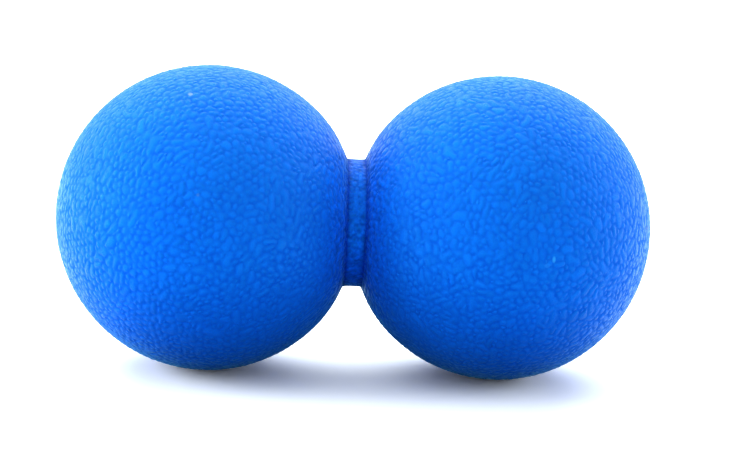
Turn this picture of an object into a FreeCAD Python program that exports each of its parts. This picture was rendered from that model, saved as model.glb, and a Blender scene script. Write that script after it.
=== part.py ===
import FreeCAD, Part

import math
import os

import Sketcher

# Peanut massage ball: two equal balls of solid rubber on one long axis, moulded in one
# piece with the short neck between them. Millimetres, +X along the long axis, +Z up,
# origin at the middle of the neck.

# Driving sizes: name, value, what it measures
SIZES = (
    ("ball_diameter", 63.0, "each ball, measured across the long axis"),
    ("neck_diameter", 26.4, "the plain neck between the balls"),
    ("neck_length", 3.7, "the neck from crease to crease"),
    ("shoulder_relief", 0.5, "how far a ball stands back from its true sphere at the crease"),
    ("shoulder_angle", 45.0, "where the shoulder leaves the sphere, in degrees from the neck"),
    ("gate_dimple_diameter", 3.0, "ring sunk round the moulding gate at the +X end"),
    ("gate_dimple_depth", 0.35, "depth of that ring"),
    ("gate_stub_diameter", 1.3, "stub of rubber left standing in the ring"),
)

# How far the tool that cuts the gate ring starts outside the ball
CUT_CLEARANCE = 1.0


def add_sizes(doc):
    """The sheet of driving sizes, one row each, with the value under its alias."""
    sheet = doc.addObject("Spreadsheet::Sheet", "sizes")
    for row, (name, value, meaning) in enumerate(SIZES, start=1):
        sheet.set(f"A{row}", name)
        sheet.set(f"B{row}", str(value))
        sheet.setAlias(f"B{row}", name)
        sheet.set(f"C{row}", meaning)
    doc.recompute()
    return sheet


def origin_feature(body, role):
    """One of the body's own origin planes or axes, found by its role."""
    return next(f for f in body.Origin.OriginFeatures if f.Role == role)


def new_sketch(body, name, plane_role):
    """An empty sketch on one of the body's origin planes."""
    sketch = body.newObject("Sketcher::SketchObject", name)
    sketch.AttachmentSupport = [(origin_feature(body, plane_role), "")]
    sketch.MapMode = "FlatFace"
    return sketch


def constrain(sketch, kind, *args, name=None, size=None):
    """Add a constraint and, where a size is given, bind it to that expression."""
    index = sketch.addConstraint(Sketcher.Constraint(kind, *args))
    if name:
        sketch.renameConstraint(index, name)
        sketch.setExpression(f"Constraints.{name}", size)


# Point positions on a sketch edge, and the sketch's own X axis, which starts at its origin
START, END, CENTRE = range(1, 4)
X_AXIS = -1

# The ball's centre lies a sphere's chord away from the neck, less the shoulder's relief
BALL_CENTRE = (
    "sizes.neck_length / 2 - sizes.shoulder_relief"
    " + sqrt((sizes.ball_diameter / 2)^2 - (sizes.neck_diameter / 2)^2)"
)


def profile_points(sheet):
    """Where the half profile's corners and centres lie, to start the sketch's solver near them."""
    ball = sheet.ball_diameter / 2
    neck = sheet.neck_diameter / 2
    half = sheet.neck_length / 2
    lean = math.radians(sheet.shoulder_angle)
    centre = half - sheet.shoulder_relief + math.sqrt(ball**2 - neck**2)
    # The shoulder is an arc through the crease that leaves the sphere along its tangent,
    # so its centre lies on the radius to the point where they part
    out_x, out_z = -math.cos(lean), math.sin(lean)
    gap_x, gap_z = centre - half, -neck
    inset = (ball**2 - gap_x**2 - gap_z**2) / (2 * (ball + gap_x * out_x + gap_z * out_z))
    return {
        "neck": (half, neck),
        "centre": (centre, 0.0),
        "parting": (centre + ball * out_x, ball * out_z),
        "shoulder_centre": (centre + inset * out_x, inset * out_z),
        "shoulder_radius": ball - inset,
        "tip": (centre + ball, 0.0),
    }


def arc_between(centre, radius, start, end):
    """Counter-clockwise arc from start to end round the centre."""
    middle = FreeCAD.Vector(centre[0], centre[1], 0)
    circle = Part.Circle(middle, FreeCAD.Vector(0, 0, 1), radius)
    angles = [math.atan2(p[1] - centre[1], p[0] - centre[0]) for p in (start, end)]
    return Part.ArcOfCircle(circle, angles[0], angles[1])


def line_between(start, end):
    return Part.LineSegment(FreeCAD.Vector(*start, 0), FreeCAD.Vector(*end, 0))


def draw_half_profile(sketch, sheet):
    """Half of the long section above the axis: neck, shoulder and ball, closed along the axis."""
    at = profile_points(sheet)
    middle = (0.0, 0.0)
    neck_top = (0.0, at["neck"][1])
    mirror_line = sketch.addGeometry(line_between(middle, neck_top))
    neck = sketch.addGeometry(line_between(neck_top, at["neck"]))
    shoulder_arc = arc_between(at["shoulder_centre"], at["shoulder_radius"], at["parting"], at["neck"])
    shoulder = sketch.addGeometry(shoulder_arc)
    ball_arc = arc_between(at["centre"], sheet.ball_diameter / 2, at["tip"], at["parting"])
    ball = sketch.addGeometry(ball_arc)
    axis = sketch.addGeometry(line_between(at["tip"], middle))

    constrain(sketch, "Coincident", mirror_line, START, X_AXIS, START)
    constrain(sketch, "Coincident", axis, END, X_AXIS, START)
    constrain(sketch, "Vertical", mirror_line)
    constrain(sketch, "Horizontal", axis)
    constrain(sketch, "Coincident", mirror_line, END, neck, START)
    constrain(sketch, "Horizontal", neck)
    constrain(sketch, "Coincident", neck, END, shoulder, END)
    constrain(sketch, "Tangent", ball, END, shoulder, START)
    constrain(sketch, "Coincident", ball, START, axis, START)
    constrain(sketch, "PointOnObject", ball, CENTRE, X_AXIS)

    constrain(sketch, "DistanceY", mirror_line, START, mirror_line, END, at["neck"][1],
              name="neck_radius", size="sizes.neck_diameter / 2")
    constrain(sketch, "DistanceX", neck, START, neck, END, at["neck"][0],
              name="half_neck", size="sizes.neck_length / 2")
    constrain(sketch, "Radius", ball, sheet.ball_diameter / 2,
              name="ball_radius", size="sizes.ball_diameter / 2")
    constrain(sketch, "DistanceX", X_AXIS, START, ball, CENTRE, at["centre"][0],
              name="ball_centre", size=BALL_CENTRE)
    constrain(sketch, "DistanceX", ball, END, ball, CENTRE, at["centre"][0] - at["parting"][0],
              name="parting_offset",
              size="sizes.ball_diameter / 2 * cos(sizes.shoulder_angle * 1 deg)")


def draw_gate_ring(sketch, sheet):
    """Section of the ring that is sunk round the gate, from its floor to clear of the ball."""
    tip = profile_points(sheet)["tip"][0]
    inner = sheet.gate_stub_diameter / 2
    outer = sheet.gate_dimple_diameter / 2
    floor = tip - sheet.gate_dimple_depth
    outside = tip + CUT_CLEARANCE
    corners = ((floor, inner), (outside, inner), (outside, outer), (floor, outer))
    sides = [
        sketch.addGeometry(line_between(corner, corners[(k + 1) % len(corners)]))
        for k, corner in enumerate(corners)
    ]
    for k, side in enumerate(sides):
        constrain(sketch, "Coincident", side, END, sides[(k + 1) % len(sides)], START)
    bottom, right, top, left = sides
    constrain(sketch, "Horizontal", bottom)
    constrain(sketch, "Vertical", right)
    constrain(sketch, "Horizontal", top)
    constrain(sketch, "Vertical", left)
    constrain(sketch, "DistanceY", X_AXIS, START, bottom, START, inner,
              name="stub_radius", size="sizes.gate_stub_diameter / 2")
    constrain(sketch, "DistanceY", X_AXIS, START, top, START, outer,
              name="ring_radius", size="sizes.gate_dimple_diameter / 2")
    constrain(sketch, "DistanceX", X_AXIS, START, bottom, START, floor, name="ring_floor",
              size=f"{BALL_CENTRE} + sizes.ball_diameter / 2 - sizes.gate_dimple_depth")
    constrain(sketch, "DistanceX", bottom, START, bottom, END, outside - floor,
              name="ring_cut", size=f"sizes.gate_dimple_depth + {CUT_CLEARANCE}")


def make_peanut_ball(doc, sheet):
    """One solid: a revolved half, its mirror image and the gate mark."""
    body = doc.addObject("PartDesign::Body", "peanut_ball")
    body.Label = "peanut_ball"

    profile = new_sketch(body, "half_profile", "XZ_Plane")
    draw_half_profile(profile, sheet)
    half = body.newObject("PartDesign::Revolution", "ball_and_half_neck")
    half.Profile = profile
    half.ReferenceAxis = (profile, ["H_Axis"])
    half.Angle = 360.0
    doc.recompute()

    pair = body.newObject("PartDesign::Mirrored", "pair_of_balls")
    pair.Originals = [half]
    pair.MirrorPlane = (origin_feature(body, "YZ_Plane"), [""])
    body.Tip = pair
    doc.recompute()

    ring_sketch = new_sketch(body, "gate_ring_section", "XZ_Plane")
    draw_gate_ring(ring_sketch, sheet)
    gate = body.newObject("PartDesign::Groove", "gate_mark")
    gate.Profile = ring_sketch
    gate.ReferenceAxis = (ring_sketch, ["H_Axis"])
    gate.Angle = 360.0
    body.Tip = gate
    body.Placement = FreeCAD.Placement()
    doc.recompute()

    removed = pair.Shape.Volume - gate.Shape.Volume
    if removed <= 0:
        raise RuntimeError("the gate ring cut nothing out of the ball")
    return body


def check(doc, bodies):
    """Stop if any object of the document failed, or a body has no sound single solid."""
    for item in doc.Objects:
        if "Invalid" in item.State or "Error" in item.State:
            raise RuntimeError(f"{item.Name} failed: {item.State}")
    for body in bodies:
        shape = body.Shape
        if shape.isNull() or not shape.isValid() or len(shape.Solids) != 1:
            raise RuntimeError(f"{body.Label} is not one valid solid")


def export(bodies):
    os.makedirs("parts", exist_ok=True)
    for body in bodies:
        body.Shape.exportStep(f"parts/{body.Label}.step")


def main():
    doc = FreeCAD.newDocument("peanut_massage_ball")
    sheet = add_sizes(doc)
    bodies = [make_peanut_ball(doc, sheet)]
    doc.recompute()
    check(doc, bodies)
    export(bodies)
    for body in bodies:
        box = body.Shape.BoundBox
        print(f"{body.Label}: {box.XLength:.2f} x {box.YLength:.2f} x {box.ZLength:.2f} mm,"
              f" {body.Shape.Volume / 1000:.2f} cm3")


main()
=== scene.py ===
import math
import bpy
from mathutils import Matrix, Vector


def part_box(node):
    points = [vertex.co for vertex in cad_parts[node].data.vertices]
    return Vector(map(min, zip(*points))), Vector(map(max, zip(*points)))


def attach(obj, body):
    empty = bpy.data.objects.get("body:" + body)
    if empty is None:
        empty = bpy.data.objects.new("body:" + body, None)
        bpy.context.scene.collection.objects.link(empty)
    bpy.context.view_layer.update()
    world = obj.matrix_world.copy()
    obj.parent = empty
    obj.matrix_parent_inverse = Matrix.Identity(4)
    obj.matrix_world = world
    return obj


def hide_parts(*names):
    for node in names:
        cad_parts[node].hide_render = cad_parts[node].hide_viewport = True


bl_info = {
    "name": "Peanut Massage Ball",
    "version": (1, 0, 0),
    "blender": (4, 5, 0),
    "location": "View3D > Sidebar > Peanut Ball",
    "description": "Moulds the pebbled rubber skin of a peanut massage ball and sets up its studio",
    "category": "Object",
}

import bpy
import numpy as np
from bpy.props import (
    FloatProperty,
    FloatVectorProperty,
    IntProperty,
    PointerProperty,
)
from mathutils import Matrix, Vector, geometry

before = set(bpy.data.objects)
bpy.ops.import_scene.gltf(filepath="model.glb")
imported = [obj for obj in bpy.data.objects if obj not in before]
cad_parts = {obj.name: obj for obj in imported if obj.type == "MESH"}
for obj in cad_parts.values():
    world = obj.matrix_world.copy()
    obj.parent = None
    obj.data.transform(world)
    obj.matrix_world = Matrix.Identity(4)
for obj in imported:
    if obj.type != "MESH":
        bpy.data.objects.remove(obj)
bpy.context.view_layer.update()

NODE = "peanut_ball"
BODY = "root"
MM = 0.001

# The solid's own length and height
NODE_LOW, NODE_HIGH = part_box(NODE)
OVERALL_LENGTH = NODE_HIGH[0] - NODE_LOW[0]
BALL_DIAMETER = NODE_HIGH[2] - NODE_LOW[2]


# The sizes and colours that a user would change


class PeanutShape(bpy.types.PropertyGroup):
    """The form that carries the grain; it repeats the solid's own sizes"""

    ball_diameter: FloatProperty(
        name="Ball Diameter", description="Across each ball",
        default=BALL_DIAMETER, unit="LENGTH", precision=5,
    )
    overall_length: FloatProperty(
        name="Overall Length", description="From the end of one ball to the end of the other",
        default=OVERALL_LENGTH, unit="LENGTH", precision=5,
    )
    neck_diameter: FloatProperty(
        name="Neck Diameter", description="Across the plain neck between the balls",
        default=26.4 * MM, unit="LENGTH", precision=5,
    )
    neck_length: FloatProperty(
        name="Neck Length", description="From crease to crease",
        default=3.7 * MM, unit="LENGTH", precision=5,
    )
    shoulder_angle: FloatProperty(
        name="Shoulder Angle", description="Where a ball's face starts to turn in to the neck",
        default=math.radians(45), subtype="ANGLE",
    )
    gate_diameter: FloatProperty(
        name="Gate Dimple", description="Across the dimple round the moulding gate",
        default=3.0 * MM, unit="LENGTH", precision=5,
    )
    gate_depth: FloatProperty(
        name="Gate Depth", description="Depth of the dimple round the gate",
        default=0.35 * MM, unit="LENGTH", precision=5,
    )
    stub_diameter: FloatProperty(
        name="Gate Stub", description="Across the stub of rubber left at the gate",
        default=1.3 * MM, unit="LENGTH", precision=5,
    )


class PeanutGrain(bpy.types.PropertyGroup):
    """The pebbled grain that the mould leaves in the rubber"""

    cell_spacing: FloatProperty(
        name="Cell Spacing", description="Between the cells that join up into pebbles",
        default=1.59 * MM, unit="LENGTH", precision=5,
    )
    neck_spacing: FloatProperty(
        name="Neck Spacing", description="Between the finer cells on the neck",
        default=1.2 * MM, unit="LENGTH", precision=5,
    )
    scatter: FloatProperty(
        name="Scatter", description="How far a cell strays from its place, as a share of the spacing",
        default=0.42, min=0.0, max=0.45, subtype="FACTOR",
    )
    cells_per_pebble: FloatProperty(
        name="Cells per Pebble", description="How many cells join into one pebble, on average",
        default=1.13, min=1.0, max=4.0,
    )
    broad_share: FloatProperty(
        name="Broad Share", description="How often cells join side by side into a broad pebble",
        default=0.1, min=0.0, max=1.0, subtype="FACTOR",
    )
    flow_wavelength: FloatProperty(
        name="Flow Wavelength", description="Distance over which the pebbles' direction turns",
        default=26 * MM, unit="LENGTH", precision=5,
    )
    groove_depth: FloatProperty(
        name="Groove Depth", description="From the pebbles' tops to the deepest grooves",
        default=0.17 * MM, unit="LENGTH", precision=5,
    )
    groove_width: FloatProperty(
        name="Groove Width", description="Across a groove from pebble to pebble",
        default=0.88 * MM, unit="LENGTH", precision=5,
    )
    crown: FloatProperty(
        name="Crown", description="How far a pebble's edge lies under its top",
        default=0.045 * MM, unit="LENGTH", precision=5,
    )
    seed: IntProperty(name="Seed", description="Changes the pebbles' pattern", default=7)


class PeanutRubber(bpy.types.PropertyGroup):
    """The blue rubber"""

    colour: FloatVectorProperty(
        name="Rubber", description="Colour of the pebbles", subtype="COLOR", size=3,
        default=(0.003, 0.152, 0.740), min=0.0, max=1.0,
    )
    # Painted shade: the colour deepens to this down in the grooves, standing for the shade that falls
    # there
    groove_shade_colour: FloatVectorProperty(
        name="Groove", description="Colour down in the grooves", subtype="COLOR", size=3,
        default=(0.002, 0.096, 0.600), min=0.0, max=1.0,
    )
    # Painted shade in the waist between the balls: the colour is multiplied by this there
    waist_shade_tint: FloatVectorProperty(
        name="Waist Tint", description="What the colour is multiplied by in the waist",
        subtype="COLOR", size=3, default=(0.8, 0.82, 0.95), min=0.0, max=1.0,
    )
    # Painted shade along the creases: the colour is multiplied by this there
    crease_shade_tint: FloatVectorProperty(
        name="Crease Tint", description="What the colour is multiplied by in the waist's creases",
        subtype="COLOR", size=3, default=(0.5, 0.42, 0.66), min=0.0, max=1.0,
    )
    gloss_tint: FloatVectorProperty(
        name="Gloss Tint", description="Colour of the gloss where the rubber is seen face on",
        subtype="COLOR", size=3, default=(0.06, 1.0, 1.0), min=0.0, max=1.0,
    )
    tone_contrast: FloatProperty(
        name="Tone Contrast", description="How far a pebble's brightness may differ from the mean",
        default=0.07, min=0.0, max=1.0, subtype="FACTOR",
    )
    mottle: FloatProperty(
        name="Mottle", description="How much the brightness swells and sinks over the rubber",
        default=0.16, min=0.0, max=1.0, subtype="FACTOR",
    )
    roughness: FloatProperty(
        name="Roughness", description="Of the pebbles' tops",
        default=0.25, min=0.0, max=1.0, subtype="FACTOR",
    )
    groove_roughness: FloatProperty(
        name="Groove Roughness", description="How much rougher the grooves are than the tops",
        default=0.50, min=0.0, max=1.0, subtype="FACTOR",
    )
    relief: FloatProperty(
        name="Relief", description="How deep the shading makes the pebbles' rounded edges look",
        default=0.06 * MM, unit="LENGTH", precision=5,
    )
    bloom: FloatProperty(
        name="Bloom", description="Strength of the pale bloom where the rubber turns away",
        default=0.38, min=0.0, max=1.0, subtype="FACTOR",
    )
    bloom_tint: FloatVectorProperty(
        name="Bloom Tint", description="Colour of the bloom", subtype="COLOR", size=3,
        default=(0.2, 0.72, 0.85), min=0.0, max=1.0,
    )


class PeanutStudio(bpy.types.PropertyGroup):
    """The floor, the lamps and the camera"""

    floor_colour: FloatVectorProperty(
        name="Floor", description="Colour of the paper that the ball lies on", subtype="COLOR",
        size=3, default=(0.80, 0.86, 0.86), min=0.0, max=1.0,
    )
    floor_radius: FloatProperty(
        name="Floor Radius", description="Of the paper", default=3.0, unit="LENGTH",
    )
    floor_whiteness: FloatProperty(
        name="Floor Whiteness", description="How much brighter than its colour the paper is seen",
        default=1.42, min=0.0,
    )
    floor_reflected: FloatProperty(
        name="Floor Reflected", description="Share of the far paper's whiteness that gloss shows",
        default=0.55, min=0.0, max=1.0, subtype="FACTOR",
    )
    floor_bounce: FloatVectorProperty(
        name="Floor Bounce", description="Colour of the light that the paper throws back on the ball",
        subtype="COLOR", size=3, default=(0.05, 0.35, 0.62), min=0.0, max=1.0,
    )
    ambient: FloatProperty(
        name="Room Light", description="Of the white room all round", default=0.92, min=0.0,
    )
    azimuth: FloatProperty(
        name="Azimuth", description="Of the camera, from straight in front of the ball's side",
        default=math.radians(-3.1), subtype="ANGLE",
    )
    elevation: FloatProperty(
        name="Elevation", description="Of the camera above the long axis",
        default=math.radians(12), subtype="ANGLE",
    )
    roll: FloatProperty(
        name="Roll", description="Turn of the camera about its line of sight",
        default=math.radians(2.71), subtype="ANGLE",
    )
    lens: FloatProperty(
        name="Lens", description="Focal length of the camera", default=150.0, min=10.0, unit="CAMERA",
    )
    distance: FloatProperty(
        name="Distance", description="From the camera to the point that it looks at",
        default=631.6 * MM, unit="LENGTH", precision=4,
    )
    aim: FloatVectorProperty(
        name="Aim", description="Point that the camera looks at", subtype="TRANSLATION", size=3,
        default=(2.64 * MM, 0.0, -0.4 * MM), precision=5,
    )


# The form under the grain: a surface of revolution round X, read by its arc length


class Outline:
    """The long section from the -X end to the +X end: place, radius and outward normal."""

    # From one point of the section to the next
    STEP = 0.02 * MM

    def __init__(self, shape):
        ball = shape.ball_diameter / 2
        neck = shape.neck_diameter / 2
        self.neck_half = shape.neck_length / 2
        self.ball_centre = shape.overall_length / 2 - ball
        lean = shape.shoulder_angle
        out = (-math.cos(lean), math.sin(lean))
        gap = (self.ball_centre - self.neck_half, -neck)
        inset = (ball**2 - gap[0] ** 2 - gap[1] ** 2) / (
            2 * (ball + gap[0] * out[0] + gap[1] * out[1])
        )
        shoulder = (self.ball_centre + inset * out[0], inset * out[1])
        at_crease = math.atan2(neck - shoulder[1], self.neck_half - shoulder[0])
        parting = math.pi - lean

        plain = np.arange(0, self.neck_half, self.STEP)
        runs = (
            (plain, np.full_like(plain, neck), np.full_like(plain, math.pi / 2)),
            self.arc(shoulder, ball - inset, at_crease, parting),
            self.arc((self.ball_centre, 0.0), ball, parting, 0.0),
        )
        x, radius, facing = (np.concatenate(part) for part in zip(*runs))
        # The other half is the mirror image, read from its end to the neck
        self.x = np.concatenate((-x[::-1], x[1:]))
        self.radius = np.concatenate((radius[::-1], radius[1:]))
        self.normal_x = np.concatenate((-np.cos(facing[::-1]), np.cos(facing[1:])))
        self.normal_r = np.concatenate((np.sin(facing[::-1]), np.sin(facing[1:])))
        steps = np.hypot(np.diff(self.x), np.diff(self.radius))
        self.along = np.concatenate(([0.0], np.cumsum(steps)))
        self.length = self.along[-1]
        self.crease = self.length / 2 - self.neck_half
        # Equal steps of this value and of the turn round X are equally long on the surface,
        # so shapes keep their angles when the skin is unrolled by it
        middle_radius = np.maximum((self.radius[1:] + self.radius[:-1]) / 2, self.STEP / 4)
        self.stretch = np.concatenate(([0.0], np.cumsum(steps / middle_radius)))
        self.stretch -= np.interp(self.length / 2, self.along, self.stretch)

    @classmethod
    def arc(cls, centre, radius, start, end):
        """Places and radii along an arc of the section, and the angle at which it faces there."""
        count = max(int(abs(end - start) * radius / cls.STEP), 2)
        angle = np.linspace(start, end, count)
        x = centre[0] + radius * np.cos(angle)
        r = centre[1] + radius * np.sin(angle)
        return x, np.maximum(r, 0.0), angle

    def read(self, table, along):
        return np.interp(along, self.along, table)

    def point(self, along, turn, height=0.0):
        """Points of the skin, given the arc length, the turn round X and the height over it."""
        x = self.read(self.x, along) + height * self.read(self.normal_x, along)
        r = self.read(self.radius, along) + height * self.read(self.normal_r, along)
        return np.stack((x, r * np.cos(turn), r * np.sin(turn)), axis=-1)

    def locate(self, points):
        """The arc length and the turn round X of the skin under each point."""
        turn = np.arctan2(points[:, 2], points[:, 1])
        off_axis = np.hypot(points[:, 1], points[:, 2])
        reach = np.abs(points[:, 0])
        # On a ball, by the angle that a point has from the end as seen from the ball's centre
        half = self.along <= self.crease
        angles = np.arctan2(self.radius[half], -self.x[half] - self.ball_centre)
        angle = np.arctan2(off_axis, reach - self.ball_centre)
        from_end = np.interp(angle, angles, self.along[half])
        on_ball = np.where(points[:, 0] < 0, from_end, self.length - from_end)
        return np.where(reach < self.neck_half, self.length / 2 + points[:, 0], on_ball), turn


# The grain: cells scattered over the skin, joined into pebbles with grooves between them

LEFT_BALL, NECK, RIGHT_BALL, GATE = range(4)

# From row to row of evenly packed cells, as a share of the spacing within a row
ROW_SHARE = math.sqrt(3) / 2

# Cells nearer than this to each other on the unrolled skin would count as one
SAME_PLACE = 1e-9

# The part of chance in which cells join, where a pair along the flow counts 1
CHANCE = 0.8

# How many cells a pebble may have at most is drawn from these
PEBBLE_LIMITS = (1, 2, 2, 2, 2, 3)

# How far the line between a ball and the neck strays to either side
CREASE_WANDER = 0.12 * MM

# The shallowest groove as a share of the deepest, and how deep one on the neck is next to
# one on a ball
SHALLOWEST = 0.5
NECK_DEPTH = 0.3

# The least and the most of the usual width that a groove has, how much wider it is where
# three pebbles meet, and how much of the way to a pebble's top it may take
WIDTH_RANGE = (0.8, 1.2)
JUNCTION_WIDENING = 1.35
WIDEST_SHARE = 0.6

# How much of a groove's painted shade a pebble's edge has, from 0 on its top to 1 deep down
EDGE_GROOVE = 0.3

# Each step of the edges in the dimple, and how much of a groove's painted shade its walls' feet have
GATE_STEP = 0.06 * MM
WALL_GROOVE = 0.9


class Cells:
    """Cell centres in rings round X, each turned at random, with one cell at each end."""

    # The room that a cell has to stray round X, half to either side, as a share of a step
    NECK_STRAY = 0.6
    GATE_STRAY = 0.3

    # The first ring beyond the gate lies this many dimple radii out, with this many cells
    GATE_RING = 2.0
    GATE_CELLS = 16

    # The neck has at least this many rings, and a ring on a ball at least this many cells
    FEWEST_RINGS = 2
    FEWEST_CELLS = 5

    def __init__(self, outline, shape, grain, rng):
        self.outline, self.grain, self.rng = outline, grain, rng
        self.along, self.turn, self.zone = [0.0], [0.0], [LEFT_BALL]
        rows = round(shape.neck_length / (grain.neck_spacing * ROW_SHARE))
        rows = max(rows, self.FEWEST_RINGS)
        pitch = shape.neck_length / rows
        count = round(math.pi * shape.neck_diameter / grain.neck_spacing)
        # Both rings beside a crease have the same turns, so that a line runs along the crease
        crease_turns = [self.turns(count, self.NECK_STRAY) for _ in range(2)]
        reach = outline.crease - pitch / 2

        self.add_ball(self.rows_between(0.0, reach), crease_turns[0], LEFT_BALL)
        self.add_ring(outline.crease + pitch / 2, crease_turns[0], NECK)
        for row in range(1, rows - 1):
            self.add_ring(outline.crease + (row + 0.5) * pitch, self.turns(count, self.NECK_STRAY),
                          NECK, grain.scatter * pitch)
        self.add_ring(outline.crease + (rows - 0.5) * pitch, crease_turns[1], NECK)
        first = shape.gate_diameter / 2 * self.GATE_RING
        gate_turns = self.turns(self.GATE_CELLS, self.GATE_STRAY)
        self.add_ring(outline.length - first, gate_turns, RIGHT_BALL)
        self.add_ball(self.rows_between(first, reach), crease_turns[1], RIGHT_BALL)
        self.along.append(outline.length)
        self.turn.append(0.0)
        self.zone.append(GATE)
        self.along, self.turn, self.zone = map(np.array, (self.along, self.turn, self.zone))

    def rows_between(self, first, last):
        """Distances of even rows from a ball's end, after the first and up to the last."""
        rows = round((last - first) / (self.grain.cell_spacing * ROW_SHARE))
        return first + np.arange(1, rows + 1) * (last - first) / rows

    def turns(self, count, share):
        """Turns round X, even from a random start, each with a share of a step to stray in."""
        stray = self.rng.uniform(-share / 2, share / 2, count)
        return (np.arange(count) + self.rng.uniform() + stray) * math.tau / count

    def add_ball(self, places, crease_turns, zone):
        """Rings at these distances from the ball's end, the last of them beside the crease."""
        for place in places[:-1]:
            radius = self.outline.read(self.outline.radius, place)
            count = max(round(math.tau * radius / self.grain.cell_spacing), self.FEWEST_CELLS)
            self.add_ring(self.from_end(place, zone), self.turns(count, 2 * self.grain.scatter),
                          zone, self.grain.scatter * self.grain.cell_spacing)
        self.add_ring(self.from_end(places[-1], zone), crease_turns, zone)

    def from_end(self, place, zone):
        return place if zone == LEFT_BALL else self.outline.length - place

    def add_ring(self, along, turns, zone, stray=0.0):
        """A ring of cells at this arc length, from which each may stray by this much."""
        self.along.extend(along + self.rng.uniform(-stray, stray, len(turns)))
        self.turn.extend(turns)
        self.zone.extend([zone] * len(turns))


def meeting_points(outline, cells):
    """Threes of neighbouring cells, one row for each point where three cells meet, turned outward."""
    reach = np.exp(np.interp(cells.along[:-1], outline.along, outline.stretch))
    # Unrolled to a plane, the -X end is its middle and the +X end lies all round it
    flat = np.stack((reach * np.cos(cells.turn[:-1]), reach * np.sin(cells.turn[:-1])), axis=1)
    flat[0] = 0.0
    found = geometry.delaunay_2d_cdt([Vector(p) for p in flat], [], [], 0, SAME_PLACE)
    faces, sources = found[2], found[3]
    threes = [[sources[v][0] for v in face] for face in faces]
    # The plane's rim closes round the last cell, at the +X end
    edges = {(three[k], three[(k + 1) % 3]) for three in threes for k in range(3)}
    last = len(cells.along) - 1
    threes.extend([b, a, last] for a, b in sorted(edges) if (b, a) not in edges)
    return np.array(threes)[:, ::-1]


def flow_at(points, grain, rng, waves=6):
    """A direction at each point that turns slowly over the skin, along which pebbles grow."""
    flow = np.zeros_like(points)
    for _ in range(waves):
        wave = rng.normal(size=3)
        wave *= math.tau / grain.flow_wavelength / np.linalg.norm(wave)
        swell = np.cos(points @ wave + rng.uniform(0, math.tau))
        flow += rng.normal(size=3) * swell[:, None]
    return flow


def join_cells(centres, zone, threes, grain, rng):
    """Which pebble each cell belongs to: chains of cells grow where the flow runs along them."""
    flanks = {}
    for three in threes.tolist():
        for k in range(3):
            pair = tuple(sorted((three[k], three[k - 1])))
            flanks.setdefault(pair, []).append(three[k - 2])
    pairs = np.array([pair for pair in flanks if zone[pair[0]] == zone[pair[1]]])
    across = centres[pairs[:, 1]] - centres[pairs[:, 0]]
    flow = flow_at((centres[pairs[:, 0]] + centres[pairs[:, 1]]) / 2, grain, rng)
    aligned = np.abs((across * flow).sum(axis=1))
    aligned /= np.linalg.norm(across, axis=1) * np.linalg.norm(flow, axis=1)
    score = aligned + rng.uniform(0, CHANCE, len(pairs))
    broad = rng.random(len(pairs)) < grain.broad_share
    longest = rng.choice(PEBBLE_LIMITS, size=len(centres))
    size = np.ones(len(centres), int)
    pebble = list(range(len(centres)))

    def first_of(cell):
        while pebble[cell] != cell:
            cell = pebble[cell]
        return cell

    surplus = len(centres) - round(len(centres) / grain.cells_per_pebble)
    for k in np.argsort(-score):
        a, b = (first_of(cell) for cell in pairs[k])
        if a == b or size[a] + size[b] > min(longest[a], longest[b]):
            continue
        # Where a cell beside the two is already in either pebble, joining them makes it broad
        beside = {first_of(cell) for cell in flanks[tuple(pairs[k].tolist())]}
        if beside & {a, b} and not broad[k]:
            continue
        pebble[b] = a
        size[a] += size[b]
        surplus -= 1
        if not surplus:
            break
    return np.array([first_of(cell) for cell in range(len(centres))])


class Grooves:
    """The grooves as short runs between meeting points, each listed for the pebble on its left."""

    def __init__(self, threes, pebble):
        self.count = len(threes)
        start = threes.T.ravel()
        end = np.roll(threes, -1, axis=1).T.ravel()
        number = np.tile(np.arange(self.count), 3)
        key = start * len(pebble) + end
        order = np.argsort(key)
        twin = order[np.searchsorted(key[order], end * len(pebble) + start)]
        kept = pebble[start] != pebble[end]
        self.cell = start[kept]
        self.owner = pebble[self.cell]
        self.start = number[twin][kept]
        self.end = number[kept]
        self.key = self.owner * self.count + self.start
        self.order = np.argsort(self.key)
        # The run that goes on from this one round the same pebble
        self.after = self.find(self.owner, self.end)

    def find(self, owner, point):
        """The run round this pebble that starts at this meeting point."""
        wanted = owner * self.count + point
        return self.order[np.searchsorted(self.key[self.order], wanted)]

    def loops(self):
        """Each closed round of runs, as a list of their numbers."""
        seen = np.zeros(len(self.after), bool)
        rounds = []
        for first in range(len(self.after)):
            if seen[first]:
                continue
            loop, at = [], first
            while not seen[at]:
                seen[at] = True
                loop.append(at)
                at = self.after[at]
            rounds.append(loop)
        return rounds


def find_grooves(threes, pebble):
    """The grooves round the pebbles; a pebble that closes a ring round another is taken apart."""
    while True:
        grooves = Grooves(threes, pebble)
        rounds = [grooves.owner[loop[0]] for loop in grooves.loops()]
        owners, times = np.unique(rounds, return_counts=True)
        rings = owners[times > 1]
        if not len(rings):
            return grooves, pebble
        pebble = np.where(np.isin(pebble, rings), np.arange(len(pebble)), pebble)


def settle(points, grooves, outline, held, passes=2):
    """Draw each meeting point towards its neighbours along the grooves, and keep it on the skin."""
    degree = np.bincount(grooves.start, minlength=len(points))[:, None]
    for _ in range(passes):
        total = np.zeros_like(points)
        np.add.at(total, grooves.start, points[grooves.end])
        points = np.where(degree > 0, (points + total / np.maximum(degree, 1)) / 2, points)
        along, turn = outline.locate(points)
        along = np.where(np.isnan(held), along, held)
        points = outline.point(along, turn)
    return along, turn


def cell_middles(threes, points, outline):
    """The middle of each cell's corners, on the skin."""
    total = np.zeros((threes.max() + 1, 3))
    np.add.at(total, threes.ravel(), np.repeat(points, 3, axis=0))
    middles = total / np.bincount(threes.ravel())[:, None]
    return outline.locate(middles)


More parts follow.
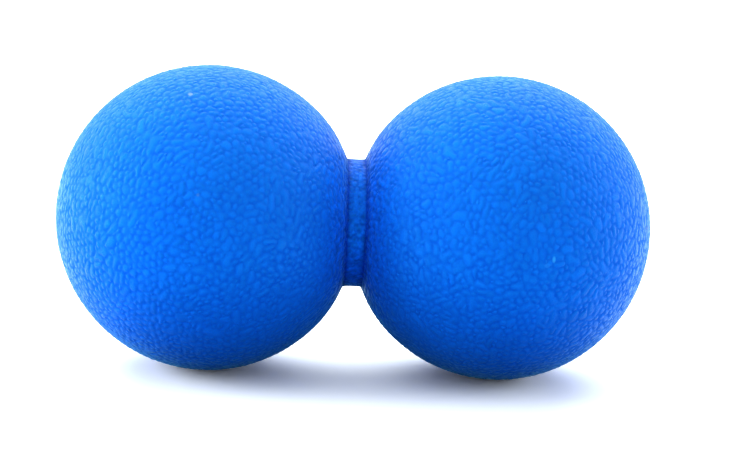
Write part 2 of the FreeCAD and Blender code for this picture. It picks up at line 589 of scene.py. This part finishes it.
class Skin:
    """Collects the skin's vertices, what each carries for the finish, and its faces."""

    def __init__(self):
        self.points, self.groove, self.tone, self.faces = [], [], [], []
        self.count = 0

    def add(self, points, groove, tone=0.0):
        """Add vertices with how far down a groove they lie and their pebble's tone."""
        self.points.append(points)
        self.groove.append(np.broadcast_to(groove, len(points)).astype(float))
        self.tone.append(np.broadcast_to(tone, len(points)).astype(float))
        numbers = np.arange(self.count, self.count + len(points))
        self.count += len(points)
        return numbers

    def add_faces(self, *corners):
        self.faces.extend(np.stack(corners, axis=1).tolist())

    def piece(self, name):
        """The object, without the vertices that no face uses."""
        used = np.zeros(self.count, bool)
        for face in self.faces:
            used[face] = True
        number = np.cumsum(used) - 1
        mesh = bpy.data.meshes.new(name)
        faces = [[int(number[v]) for v in face] for face in self.faces]
        mesh.from_pydata(np.concatenate(self.points)[used].tolist(), [], faces)
        for title, values in (("groove", self.groove), ("pebble_tone", self.tone)):
            layer = mesh.attributes.new(title, "FLOAT", "POINT")
            layer.data.foreach_set("value", np.concatenate(values)[used].astype(np.float32))
        if mesh.validate():
            raise RuntimeError("the skin has faces that don't fit together")
        mesh.shade_smooth()
        piece = bpy.data.objects.new(name, mesh)
        bpy.context.scene.collection.objects.link(piece)
        return piece


def add_gate(skin, shape, rim, turns):
    """The dimple round the gate and the stub in it, as rings inside the rim's vertices."""
    tip = shape.overall_length / 2
    dimple = shape.gate_diameter / 2
    stub = shape.stub_diameter / 2
    bottom = shape.gate_depth
    # Each ring: its radius, its depth under the tip and how much of a groove's painted shade it has
    rings = (
        (dimple - GATE_STEP, bottom - GATE_STEP, WALL_GROOVE),
        (dimple - 2 * GATE_STEP, bottom, 1.0),
        (stub + 2 * GATE_STEP, bottom, 1.0),
        (stub + GATE_STEP, bottom - GATE_STEP, WALL_GROOVE),
        (stub, GATE_STEP, 0.0),
        (stub - GATE_STEP, 0.0, 0.0),
    )
    outer = rim
    for radius, depth, groove in rings:
        place = np.full_like(turns, tip - depth)
        ring = skin.add(
            np.stack((place, radius * np.cos(turns), radius * np.sin(turns)), axis=1), groove
        )
        skin.add_faces(outer, np.roll(outer, -1), np.roll(ring, -1), ring)
        outer = ring
    centre = skin.add(np.array([[tip, 0.0, 0.0]]), 0.0)
    skin.add_faces(outer, np.roll(outer, -1), np.broadcast_to(centre, len(outer)))


def mould_skin(name, shape, grain):
    """The whole pebbled skin as one closed surface."""
    rng = np.random.default_rng(grain.seed)
    outline = Outline(shape)
    cells = Cells(outline, shape, grain, rng)
    centres = outline.point(cells.along, cells.turn)
    threes = meeting_points(outline, cells)
    pebble = join_cells(centres, cells.zone, threes, grain, rng)
    grooves, pebble = find_grooves(threes, pebble)

    # Where the neck meets a ball the line stays on the crease, and round the gate on its rim
    zones = cells.zone[threes]
    beside_neck = (zones == NECK).any(axis=1)
    held = np.full(len(threes), np.nan)
    held[beside_neck & (zones == LEFT_BALL).any(axis=1)] = outline.crease
    held[beside_neck & (zones == RIGHT_BALL).any(axis=1)] = outline.length - outline.crease
    in_crease = np.isfinite(held)
    held[in_crease] += rng.uniform(-CREASE_WANDER, CREASE_WANDER, in_crease.sum())
    held[(zones == GATE).any(axis=1)] = outline.length - shape.gate_diameter / 2
    along, turn = settle(centres[threes].mean(axis=1), grooves, outline, held)
    base = outline.point(along, turn)
    top_along, top_turn = cell_middles(threes, base, outline)
    tops = outline.point(top_along, top_turn)

    skin = Skin()
    depth = np.where(np.isnan(held), rng.uniform(SHALLOWEST, 1.0, len(threes)), 0.0)
    # A groove's painted shade follows its depth, and is full along the creases, which lie flat
    shade = np.where(in_crease, 1.0, depth)
    depth = np.where(beside_neck, NECK_DEPTH * depth, depth)
    floor = skin.add(outline.point(along, turn, -depth * grain.groove_depth), shade)
    tone = rng.uniform(-1, 1, len(centres))[pebble]
    sunk = rng.uniform(0, 1, len(centres))[pebble] * grain.crown
    top = skin.add(outline.point(top_along, top_turn, -sunk), 0.0, tone)

    # A pebble's edge lies in from the groove, towards its own cells that meet there
    gate = pebble[-1]
    meeting = threes[grooves.start]
    own = (pebble[meeting] == grooves.owner[:, None])[..., None]
    here = base[grooves.start]
    inward = (tops[meeting] * own).sum(axis=1) / own.sum(axis=1) - here
    reach = np.linalg.norm(inward, axis=1)
    width = grain.groove_width / 2 * rng.uniform(*WIDTH_RANGE, len(centres))[grooves.owner]
    three_pebbles = np.bincount(grooves.start, minlength=len(threes))[grooves.start] == 3
    width = np.where(three_pebbles, JUNCTION_WIDENING, 1.0) * width
    share = np.minimum(width / reach, WIDEST_SHARE)
    edge_along, edge_turn = outline.locate(here + inward * share[:, None])
    drop = sunk[grooves.cell] + grain.crown
    edge = skin.add(outline.point(edge_along, edge_turn, -drop), EDGE_GROOVE, tone[grooves.cell])

    run = np.flatnonzero(grooves.owner != gate)
    after = grooves.after[run]
    skin.add_faces(floor[grooves.start[run]], floor[grooves.end[run]], edge[after], edge[run])
    skin.add_faces(edge[run], edge[after], top[grooves.cell[run]])
    # Inside a pebble, its cells' tops join up with each other and with its edge
    for k in range(3):
        a, b, c = (threes[:, (k + j) % 3] for j in range(3))
        two = np.flatnonzero((pebble[a] == pebble[b]) & (pebble[b] != pebble[c]))
        inner = edge[grooves.find(pebble[a[two]], two)]
        skin.add_faces(top[a[two]], top[b[two]], inner)
    whole = threes[(pebble[threes] == pebble[threes[:, :1]]).all(axis=1)]
    skin.add_faces(*top[whole].T)

    rim_runs = next(loop for loop in grooves.loops() if grooves.owner[loop[0]] == gate)
    rim = grooves.start[rim_runs]
    add_gate(skin, shape, floor[rim], turn[rim])
    return skin.piece(name)


# Materials


def new_node(tree, kind, at, values=None, **settings):
    node = tree.nodes.new(kind)
    node.location = at
    for key, value in settings.items():
        setattr(node, key, value)
    for key, value in (values or {}).items():
        node.inputs[key].default_value = value
    return node


def feed(tree, sockets, values):
    """Give each socket its value, which is a number, a colour or another node's output."""
    for socket, value in zip(sockets, values):
        if isinstance(value, bpy.types.NodeSocket):
            tree.links.new(value, socket)
        else:
            socket.default_value = value


def math_node(tree, operation, at, *values):
    node = new_node(tree, "ShaderNodeMath", at, operation=operation)
    feed(tree, node.inputs, values)
    return node.outputs[0]


def mix_colours(tree, at, *values):
    """Mix from the second value to the third by the first."""
    node = new_node(tree, "ShaderNodeMix", at, data_type="RGBA")
    feed(tree, (node.inputs[0], node.inputs[6], node.inputs[7]), values)
    return node.outputs[2]


def vector_node(tree, operation, at, *values):
    node = new_node(tree, "ShaderNodeVectorMath", at, operation=operation)
    feed(tree, node.inputs, values)
    return node


def scale_colour(tree, at, colour, brightness):
    node = vector_node(tree, "SCALE", at, colour)
    tree.links.new(brightness, node.inputs["Scale"])
    return node.outputs[0]


def noise(tree, at, place, scale, detail):
    """A noise from 0 to 1 over these places."""
    node = new_node(tree, "ShaderNodeTexNoise", at, {"Scale": scale, "Detail": detail})
    tree.links.new(place, node.inputs["Vector"])
    return node.outputs["Fac"]


def swing(tree, at, value, width, middle=0.0):
    """Stretch a noise to this width, half to either side of a middle value."""
    return math_node(tree, "MULTIPLY_ADD", at, value, width, middle - width / 2)


def smooth_step(tree, at, value, start, end, first=1.0, last=0.0):
    """The first result up to the start, going smoothly over to the last at the end."""
    node = new_node(tree, "ShaderNodeMapRange", at, interpolation_type="SMOOTHSTEP")
    feed(tree, node.inputs, (value, start, end, first, last))
    return node.outputs[0]


def new_material(name):
    material = bpy.data.materials.new(name)
    material.use_nodes = True
    tree = material.node_tree
    return material, tree, tree.nodes["Principled BSDF"]


def opaque(colour):
    return (*colour, 1.0)


# How fine the rubber's broad mottling is, the unevenness of its grooves, and its tooth
MOTTLE_SCALE, MOTTLE_DETAIL = 90.0, 3.0
UNEVEN_SCALE, UNEVEN_DETAIL = 900.0, 2.0
TOOTH_SCALE, TOOTH_DETAIL = 4200.0, 2.0

# How much the unevenness changes the grooves and, the other way round, the waist's brightness
UNEVEN_GROOVES = 1.4
UNEVEN_WAIST = -1.5

# Distances from the middle of the neck up to which the waist's tint is full, and where it ends
WAIST_FULL = 2.0 * MM
WAIST_END = 9.0 * MM

# How far a crease's tint reaches to either side
CREASE_REACH = 1.1 * MM

# How much the tooth changes the roughness, and how strong and high it is
TOOTH_ROUGHNESS = 0.06
TOOTH_STRENGTH = 0.35
TOOTH_HEIGHT = 0.02 * MM

# What the rubber's gloss and its pale bloom are like
RUBBER_IOR = 1.42
BLOOM_ROUGHNESS = 0.3

# The share of a mark, from its middle, that has its full strength
MARK_CORE = 0.4

# Small marks: colour, strength, middle and half sizes in mm. The first two are specks, the third and
# fourth a painted highlight where a pebble on the front of the right ball catches the light, the fifth a
# short dark line at the right end and the sixth a painted highlight beside it
MARKS = (
    ((0.20, 0.34, 0.65), 0.80, (-34.55, -13.7, 28.0), (0.70, 0.75, 0.50)),
    ((0.07, 0.21, 0.55), 0.45, (-32.3, -29.5, 10.7), (0.45, 0.45, 0.45)),
    # Painted highlight where a pebble on the front of the right ball catches the light
    ((0.04, 0.38, 0.88), 0.80, (38.45, -30.4, 0.4), (0.50, 0.60, 0.90)),
    ((0.02, 0.24, 0.82), 0.60, (37.2, -30.6, -0.8), (0.85, 0.50, 0.65)),
    ((0.0, 0.03, 0.30), 0.65, (59.4, -10.6, 3.4), (1.2, 3.2, 0.50)),
    # Painted highlight beside the dark line at the right end
    ((0.25, 0.60, 1.0), 0.45, (60.3, -8.2, 2.0), (0.60, 1.2, 0.45)),
)


def mark_mask(tree, row, place, middle, size):
    """1 in the middle of a small mark, falling to 0 at its edge."""
    apart = vector_node(tree, "SUBTRACT", (-900, row), place, [value * MM for value in middle])
    stretched = vector_node(tree, "DIVIDE", (-700, row), apart.outputs[0],
                            [value * MM for value in size])
    reach = vector_node(tree, "LENGTH", (-500, row), stretched.outputs[0])
    return smooth_step(tree, (-300, row), reach.outputs["Value"], MARK_CORE, 1.0)


def rubber_colour(tree, rubber, crease, place, groove, uneven):
    """Pebbles of different tones, painted shade in the grooves, the waist and its creases, and the small
    marks, some of them painted highlights.
    """
    tone = new_node(tree, "ShaderNodeAttribute", (-1200, 100), attribute_name="pebble_tone")
    mottle = noise(tree, (-1200, -100), place, MOTTLE_SCALE, MOTTLE_DETAIL)
    along = new_node(tree, "ShaderNodeSeparateXYZ", (-1250, 550))
    tree.links.new(place, along.inputs[0])
    reach = math_node(tree, "ABSOLUTE", (-1050, 550), along.outputs["X"])
    waist = smooth_step(tree, (-700, 500), reach, WAIST_FULL, WAIST_END)
    # On the shallow grain of the waist the unevenness also shows as paler and deeper patches
    patch = swing(tree, (-1050, -300), uneven, UNEVEN_WAIST)
    patch = math_node(tree, "MULTIPLY", (-850, -300), patch, waist)

    # Painted shade: the colour deepens down in the grooves
    base = mix_colours(tree, (-700, 250), groove, opaque(rubber.colour),
                       opaque(rubber.groove_shade_colour))
    lift = math_node(tree, "MULTIPLY_ADD", (-900, 50), tone.outputs["Fac"],
                     rubber.tone_contrast, patch)
    swell = swing(tree, (-900, -120), mottle, rubber.mottle, 1.0)
    brightness = math_node(tree, "ADD", (-700, -20), lift, swell)
    colour = scale_colour(tree, (-500, 200), base, brightness)

    # Painted shade: the colour is deepened in the waist between the balls, and most of all along its
    # creases, where shade falls
    from_crease = math_node(tree, "SUBTRACT", (-1050, 720), reach, crease)
    from_crease = math_node(tree, "ABSOLUTE", (-880, 720), from_crease)
    crease_shade_mask = smooth_step(tree, (-700, 780), from_crease, 0.0, CREASE_REACH)
    for row, mask, tint in ((500, waist, rubber.waist_shade_tint), (750, crease_shade_mask, rubber.crease_shade_tint)):
        shade = mix_colours(tree, (-500, row), mask, (1, 1, 1, 1), opaque(tint))
        colour = vector_node(tree, "MULTIPLY", (-300, row), colour, shade).outputs[0]
    # The small marks over the colour, among them painted highlights
    for number, (spot_colour, share, middle, size) in enumerate(MARKS):
        row = 1050 + 250 * number
        mask = mark_mask(tree, row, place, middle, size)
        mask = math_node(tree, "MULTIPLY", (-100, row), mask, share)
        colour = mix_colours(tree, (100, row), mask, colour, opaque(spot_colour))
    return colour


def set_rubber_surface(tree, shader, rubber, place, groove):
    """Grooves rougher than the tops, and pebbles that round off into them under a fine tooth."""
    tooth = noise(tree, (-1200, -550), place, TOOTH_SCALE, TOOTH_DETAIL)
    rough = math_node(tree, "MULTIPLY_ADD", (-700, -250), groove, rubber.groove_roughness,
                      rubber.roughness - TOOTH_ROUGHNESS / 2)
    rough = math_node(tree, "MULTIPLY_ADD", (-500, -250), tooth, TOOTH_ROUGHNESS, rough)
    tree.links.new(rough, shader.inputs["Roughness"])

    rounded = smooth_step(tree, (-900, -500), groove, 0.0, 1.0, first=0.0, last=1.0)
    height = math_node(tree, "MULTIPLY", (-700, -500), rounded, -1.0)
    relief = new_node(tree, "ShaderNodeBump", (-500, -650), {"Distance": rubber.relief})
    tree.links.new(height, relief.inputs["Height"])
    bump = new_node(tree, "ShaderNodeBump", (-300, -450),
                    {"Strength": TOOTH_STRENGTH, "Distance": TOOTH_HEIGHT})
    tree.links.new(tooth, bump.inputs["Height"])
    tree.links.new(relief.outputs["Normal"], bump.inputs["Normal"])
    tree.links.new(bump.outputs["Normal"], shader.inputs["Normal"])


def rubber_material(rubber, crease):
    """Satin blue rubber."""
    material, tree, shader = new_material("blue_rubber")
    place = new_node(tree, "ShaderNodeTexCoord", (-1700, 0)).outputs["Object"]
    groove = new_node(tree, "ShaderNodeAttribute", (-1250, 350), attribute_name="groove")
    # Fine unevenness makes the grooves fade and swell along their length
    uneven = noise(tree, (-1450, -300), place, UNEVEN_SCALE, UNEVEN_DETAIL)
    groove = math_node(tree, "ADD", (-900, 350), groove.outputs["Fac"],
                       swing(tree, (-1050, 250), uneven, UNEVEN_GROOVES))
    groove.node.use_clamp = True
    colour = rubber_colour(tree, rubber, crease, place, groove, uneven)
    tree.links.new(colour, shader.inputs["Base Color"])
    set_rubber_surface(tree, shader, rubber, place, groove)
    shader.inputs["Specular Tint"].default_value = opaque(rubber.gloss_tint)
    shader.inputs["IOR"].default_value = RUBBER_IOR
    # A thin bloom on the rubber pales it where it turns away
    shader.inputs["Sheen Weight"].default_value = rubber.bloom
    shader.inputs["Sheen Roughness"].default_value = BLOOM_ROUGHNESS
    shader.inputs["Sheen Tint"].default_value = opaque(rubber.bloom_tint)
    return material


def seen_directly(tree, at, reflected=1.0):
    """1 for rays from the camera and through glass, the reflected share for gloss, 0 for other light."""
    path = new_node(tree, "ShaderNodeLightPath", at)
    x, y = at
    gloss = math_node(tree, "MULTIPLY", (x + 200, y - 150), path.outputs["Is Glossy Ray"], reflected)
    seen = math_node(tree, "MAXIMUM", (x + 400, y), path.outputs["Is Camera Ray"], gloss)
    return math_node(tree, "MAXIMUM", (x + 600, y), seen, path.outputs["Is Transmission Ray"])


# Distances from the middle of the neck up to which the ball's shade on the paper is full, and
# where it ends
SHADE_FULL = 40 * MM
SHADE_END = 90 * MM

# The share of its bounce that the paper keeps in the full shade
SHADE_BOUNCE = 0.3

# How fine the paper's fibres are, and how much they differ in brightness
FIBRE_SCALE, FIBRE_DETAIL = 900.0, 4.0
FIBRE_CONTRAST = 0.02


def floor_material(studio):
    """Matt white paper, which is seen whiter than it lights the ball."""
    material, tree, shader = new_material("white_paper")
    fibre = new_node(tree, "ShaderNodeTexNoise", (-700, -200),
                     {"Scale": FIBRE_SCALE, "Detail": FIBRE_DETAIL})
    fibres = swing(tree, (-500, -200), fibre.outputs["Fac"], FIBRE_CONTRAST, 1.0)
    white = [studio.floor_whiteness * value for value in studio.floor_colour]
    # Near the ball the paper lies in its shade: gloss shows only the far paper, and less is
    # thrown back from below
    place = new_node(tree, "ShaderNodeTexCoord", (-2100, -100)).outputs["Object"]
    away = vector_node(tree, "LENGTH", (-1900, -100), place)
    far = smooth_step(tree, (-1700, -100), away.outputs["Value"], SHADE_FULL, SHADE_END,
                      first=0.0, last=1.0)
    reflected = math_node(tree, "MULTIPLY", (-1500, -100), far, studio.floor_reflected)
    bounce = mix_colours(tree, (-700, -400), far,
                         opaque([SHADE_BOUNCE * value for value in studio.floor_bounce]),
                         opaque(studio.floor_bounce))
    colour = mix_colours(tree, (-500, 100), seen_directly(tree, (-1300, 100), reflected),
                         bounce, opaque(white))
    matt = new_node(tree, "ShaderNodeBsdfDiffuse", (0, 100))
    tree.links.new(scale_colour(tree, (-200, 100), colour, fibres), matt.inputs["Color"])
    tree.nodes.remove(shader)
    tree.links.new(matt.outputs[0], tree.nodes["Material Output"].inputs["Surface"])
    return material


def set_world(studio):
    """A white room: plain white where it is seen, and the room light's strength on other things."""
    world = bpy.data.worlds.new("white_room")
    bpy.context.scene.world = world
    world.use_nodes = True
    tree = world.node_tree
    background = tree.nodes["Background"]
    background.inputs["Color"].default_value = (1, 1, 1, 1)
    strength = math_node(tree, "MULTIPLY_ADD", (-200, 0), seen_directly(tree, (-1000, 0)),
                         1 - studio.ambient, studio.ambient)
    tree.links.new(strength, background.inputs["Strength"])


# The stage: floor, lamps and camera

# Each lamp: name, place, width, height and power in watts. They give only soft light:
# what the gloss shows is the white room.
LAMPS = (
    ("top_softbox", (-0.2, 0.08, 0.85), 1.3, 1.0, 3.2),
    ("back_softbox", (0.0, 0.85, 1.05), 2.0, 0.8, 27.0),
    ("left_softbox", (-0.9, 0.0, 0.28), 0.7, 0.55, 8.0),
    ("low_left_softbox", (-0.9, 0.14, 0.14), 0.55, 0.4, 5.0),
    ("right_softbox", (1.2, 0.35, 0.25), 1.0, 0.6, 10.0),
)


def add_lamp(name, place, width, height, power):
    light = bpy.data.lights.new(name, "AREA")
    light.shape = "RECTANGLE"
    light.size, light.size_y = width, height
    light.energy = power
    lamp = bpy.data.objects.new(name, light)
    lamp.location = place
    lamp.rotation_euler = (-Vector(place)).to_track_quat("-Z", "Y").to_euler()
    lamp.visible_camera = False
    lamp.visible_glossy = False
    bpy.context.scene.collection.objects.link(lamp)


def add_floor(studio):
    """A wide round sheet of paper, level with the lowest point of both balls."""
    sides = 64
    mesh = bpy.data.meshes.new("paper_floor")
    rim = [
        (studio.floor_radius * math.cos(k * math.tau / sides),
         studio.floor_radius * math.sin(k * math.tau / sides), NODE_LOW[2])
        for k in range(sides)
    ]
    mesh.from_pydata(rim, [], [list(range(sides))])
    mesh.materials.append(floor_material(studio))
    floor = bpy.data.objects.new("paper_floor", mesh)
    bpy.context.scene.collection.objects.link(floor)


def add_camera(studio):
    data = bpy.data.cameras.new("camera")
    data.lens = studio.lens
    camera = bpy.data.objects.new("camera", data)
    back = Vector((
        math.sin(studio.azimuth) * math.cos(studio.elevation),
        -math.cos(studio.azimuth) * math.cos(studio.elevation),
        math.sin(studio.elevation),
    ))
    level = Vector((math.cos(studio.azimuth), math.sin(studio.azimuth), 0.0))
    right = Matrix.Rotation(studio.roll, 3, back) @ level
    up = back.cross(right)
    turn = Matrix((right, up, back)).transposed().to_4x4()
    camera.matrix_world = Matrix.Translation(Vector(studio.aim) + back * studio.distance) @ turn
    bpy.context.scene.collection.objects.link(camera)
    bpy.context.scene.camera = camera


# Operators and the panel


class PEANUT_OT_mould_skin(bpy.types.Operator):
    """Mould the pebbled rubber skin over the solid"""

    bl_idname = "object.peanut_mould_skin"
    bl_label = "Mould Peanut Skin"

    def execute(self, context):
        scene = context.scene
        piece = mould_skin("pebbled_skin", scene.peanut_shape, scene.peanut_grain)
        crease = scene.peanut_shape.neck_length / 2
        piece.data.materials.append(rubber_material(scene.peanut_rubber, crease))
        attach(piece, BODY)
        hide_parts(NODE)
        return {"FINISHED"}


class PEANUT_OT_set_studio(bpy.types.Operator):
    """Lay the white paper floor and place the lamps and the camera"""

    bl_idname = "object.peanut_set_studio"
    bl_label = "Set Up Studio"

    def execute(self, context):
        studio = context.scene.peanut_studio
        context.scene.view_settings.view_transform = "Standard"
        set_world(studio)
        add_floor(studio)
        for lamp in LAMPS:
            add_lamp(*lamp)
        add_camera(studio)
        return {"FINISHED"}


class PEANUT_PT_panel(bpy.types.Panel):
    """Sizes, grain, rubber and studio of the peanut massage ball"""

    bl_label = "Peanut Ball"
    bl_idname = "PEANUT_PT_panel"
    bl_space_type = "VIEW_3D"
    bl_region_type = "UI"
    bl_category = "Peanut Ball"

    def draw(self, context):
        layout = self.layout
        for name, title in GROUPS:
            box = layout.box()
            box.label(text=title)
            group = getattr(context.scene, name)
            for prop in group.bl_rna.properties:
                if prop.identifier not in ("rna_type", "name"):
                    box.prop(group, prop.identifier)
        for operator in OPERATORS:
            layout.operator(operator.bl_idname)


GROUPS = (
    ("peanut_shape", "Shape"),
    ("peanut_grain", "Grain"),
    ("peanut_rubber", "Rubber"),
    ("peanut_studio", "Studio"),
)
OPERATORS = (PEANUT_OT_mould_skin, PEANUT_OT_set_studio)
PROPERTY_GROUPS = (PeanutShape, PeanutGrain, PeanutRubber, PeanutStudio)
CLASSES = (*PROPERTY_GROUPS, *OPERATORS, PEANUT_PT_panel)


def register():
    for cls in CLASSES:
        bpy.utils.register_class(cls)
    for (name, _), group in zip(GROUPS, PROPERTY_GROUPS):
        setattr(bpy.types.Scene, name, PointerProperty(type=group))


def unregister():
    for name, _ in GROUPS:
        delattr(bpy.types.Scene, name)
    for cls in reversed(CLASSES):
        bpy.utils.unregister_class(cls)


def corners(box):
    return [[float(value) for value in corner] for corner in box]


def main():
    register()
    bpy.ops.object.peanut_mould_skin()
    bpy.ops.object.peanut_set_studio()


if __name__ == "__main__":
    main()
